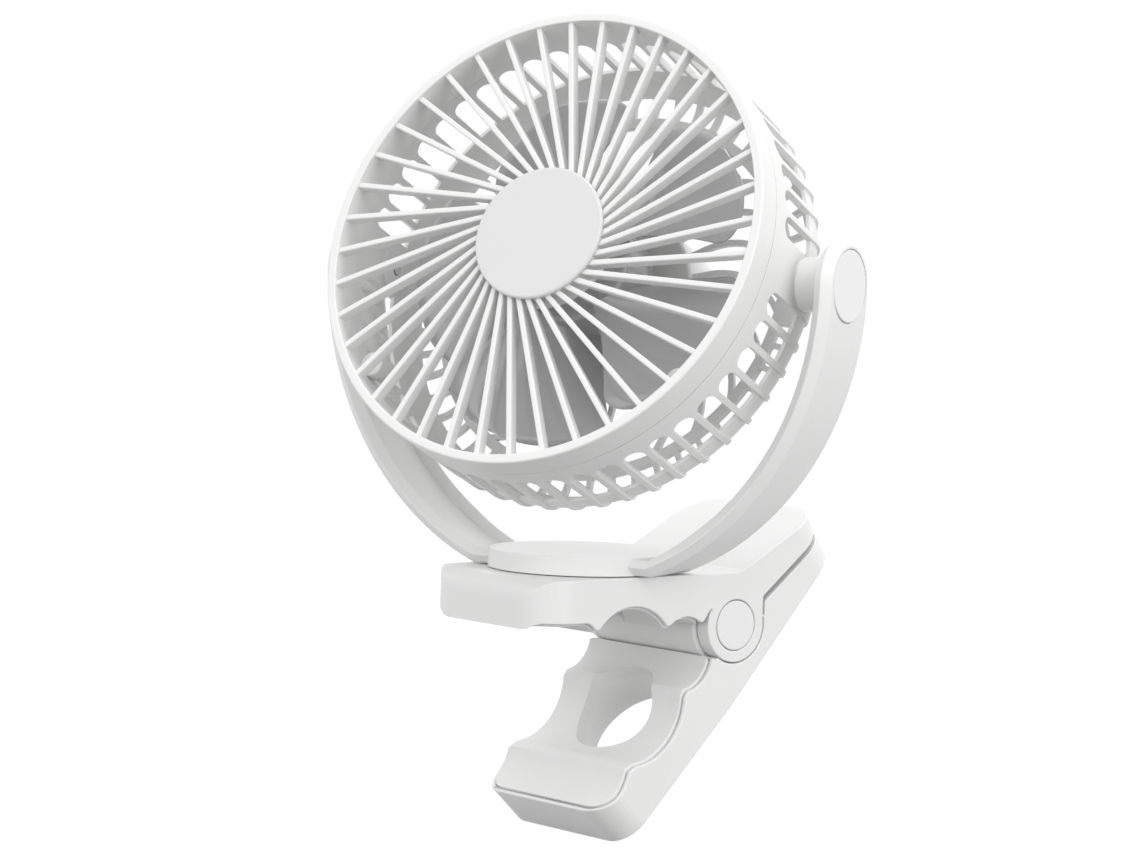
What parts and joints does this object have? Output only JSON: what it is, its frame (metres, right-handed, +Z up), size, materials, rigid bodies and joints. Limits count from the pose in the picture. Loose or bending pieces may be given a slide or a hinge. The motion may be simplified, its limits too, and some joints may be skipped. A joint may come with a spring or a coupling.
{
  "type": "clip fan",
  "caption": "White clip-on fan: a caged five-blade head tilts in a U-shaped yoke that swivels on a spring clip with padded, scalloped jaws.",
  "frame": {"origin": "on the flat land of the upper jaw's pad, midway across the clip, where the pad rests on the top of a shelf or table", "axes": "+X along the clip's hinge pin, +Z up out of the upper jaw towards the fan head, -Y towards the open end of the jaws and the front of the fan"},
  "size_m": [0.1862, 0.1518, 0.2657],
  "materials": {
    "body": "smooth satin moulded white",
    "cap": "smooth satin",
    "wheel": "satin, faintly translucent white",
    "pad": "soft matte",
    "glide": "slippery satin",
    "lens": "clear gloss",
    "board": "solder-mask green",
    "steel": "plated",
    "magnet": "sintered grey",
    "foil": "dull foil",
    "copper": "enamelled wire"
  },
  "bodies": {
    "clip": {"upper_lever": "body", "upper_pad": "pad", "hinge_pin": "steel", "pin_cap_right": "cap", "pin_cap_left": "cap", "torsion_spring": "steel", "swivel_glide": "glide"},
    "jaw": {"lower_lever": "body", "lower_pad": "pad"},
    "yoke_arm": {"yoke": "body", "arm_cap_right": "cap", "arm_cap_left": "cap", "swivel_screw": "steel", "swivel_washer": "steel", "pivot_screw_right": "steel", "pivot_screw_left": "steel"},
    "head": {"front_grille": "body", "hub_cap": "cap", "rear_cage": "body", "rear_cover": "body", "indicator_lens": "lens", "circuit_board": "board", "usb_port": "steel", "battery_cell": "foil", "pivot_collar_right": "body", "pivot_collar_left": "body", "friction_washer_right": "steel", "friction_washer_left": "steel", "stator_core": "steel", "windings": "copper", "bearing_front": "steel", "bearing_rear": "steel"},
    "button": {"power_button": "cap"},
    "wheel": {"fan_wheel": "wheel", "rotor_cup": "steel", "rotor_magnet": "magnet", "motor_shaft": "steel"}
  },
  "joints": [
    {"name": "yoke_swivel", "type": "hinge", "parent": "clip", "child": "yoke_arm", "pos_m": [0, 0.0265, 0.0148], "axis": [0, 0, 1], "range_deg": [-180, 180]},
    {"name": "head_tilt", "type": "hinge", "parent": "yoke_arm", "child": "head", "pos_m": [0, 0.0265, 0.1107], "axis": [0.9397, 0.342, 0], "range_deg": [-67.4, 112.6]},
    {"name": "wheel_spin", "type": "hinge", "parent": "head", "child": "wheel", "pos_m": [0, 0.0265, 0.1107], "axis": [0.3158, -0.8675, 0.3843], "continuous": true},
    {"name": "jaw_hinge", "type": "hinge", "parent": "clip", "child": "jaw", "pos_m": [0, 0.068, -0.00275], "axis": [-1, 0, 0], "range_deg": [0, 44]},
    {"name": "button_press", "type": "slide", "parent": "head", "child": "button", "axis": [0.3158, -0.8675, 0.3843], "range_m": [0, 0.0008], "stiffness_N_per_m": 400, "springref_m": -0.002}
  ]
}
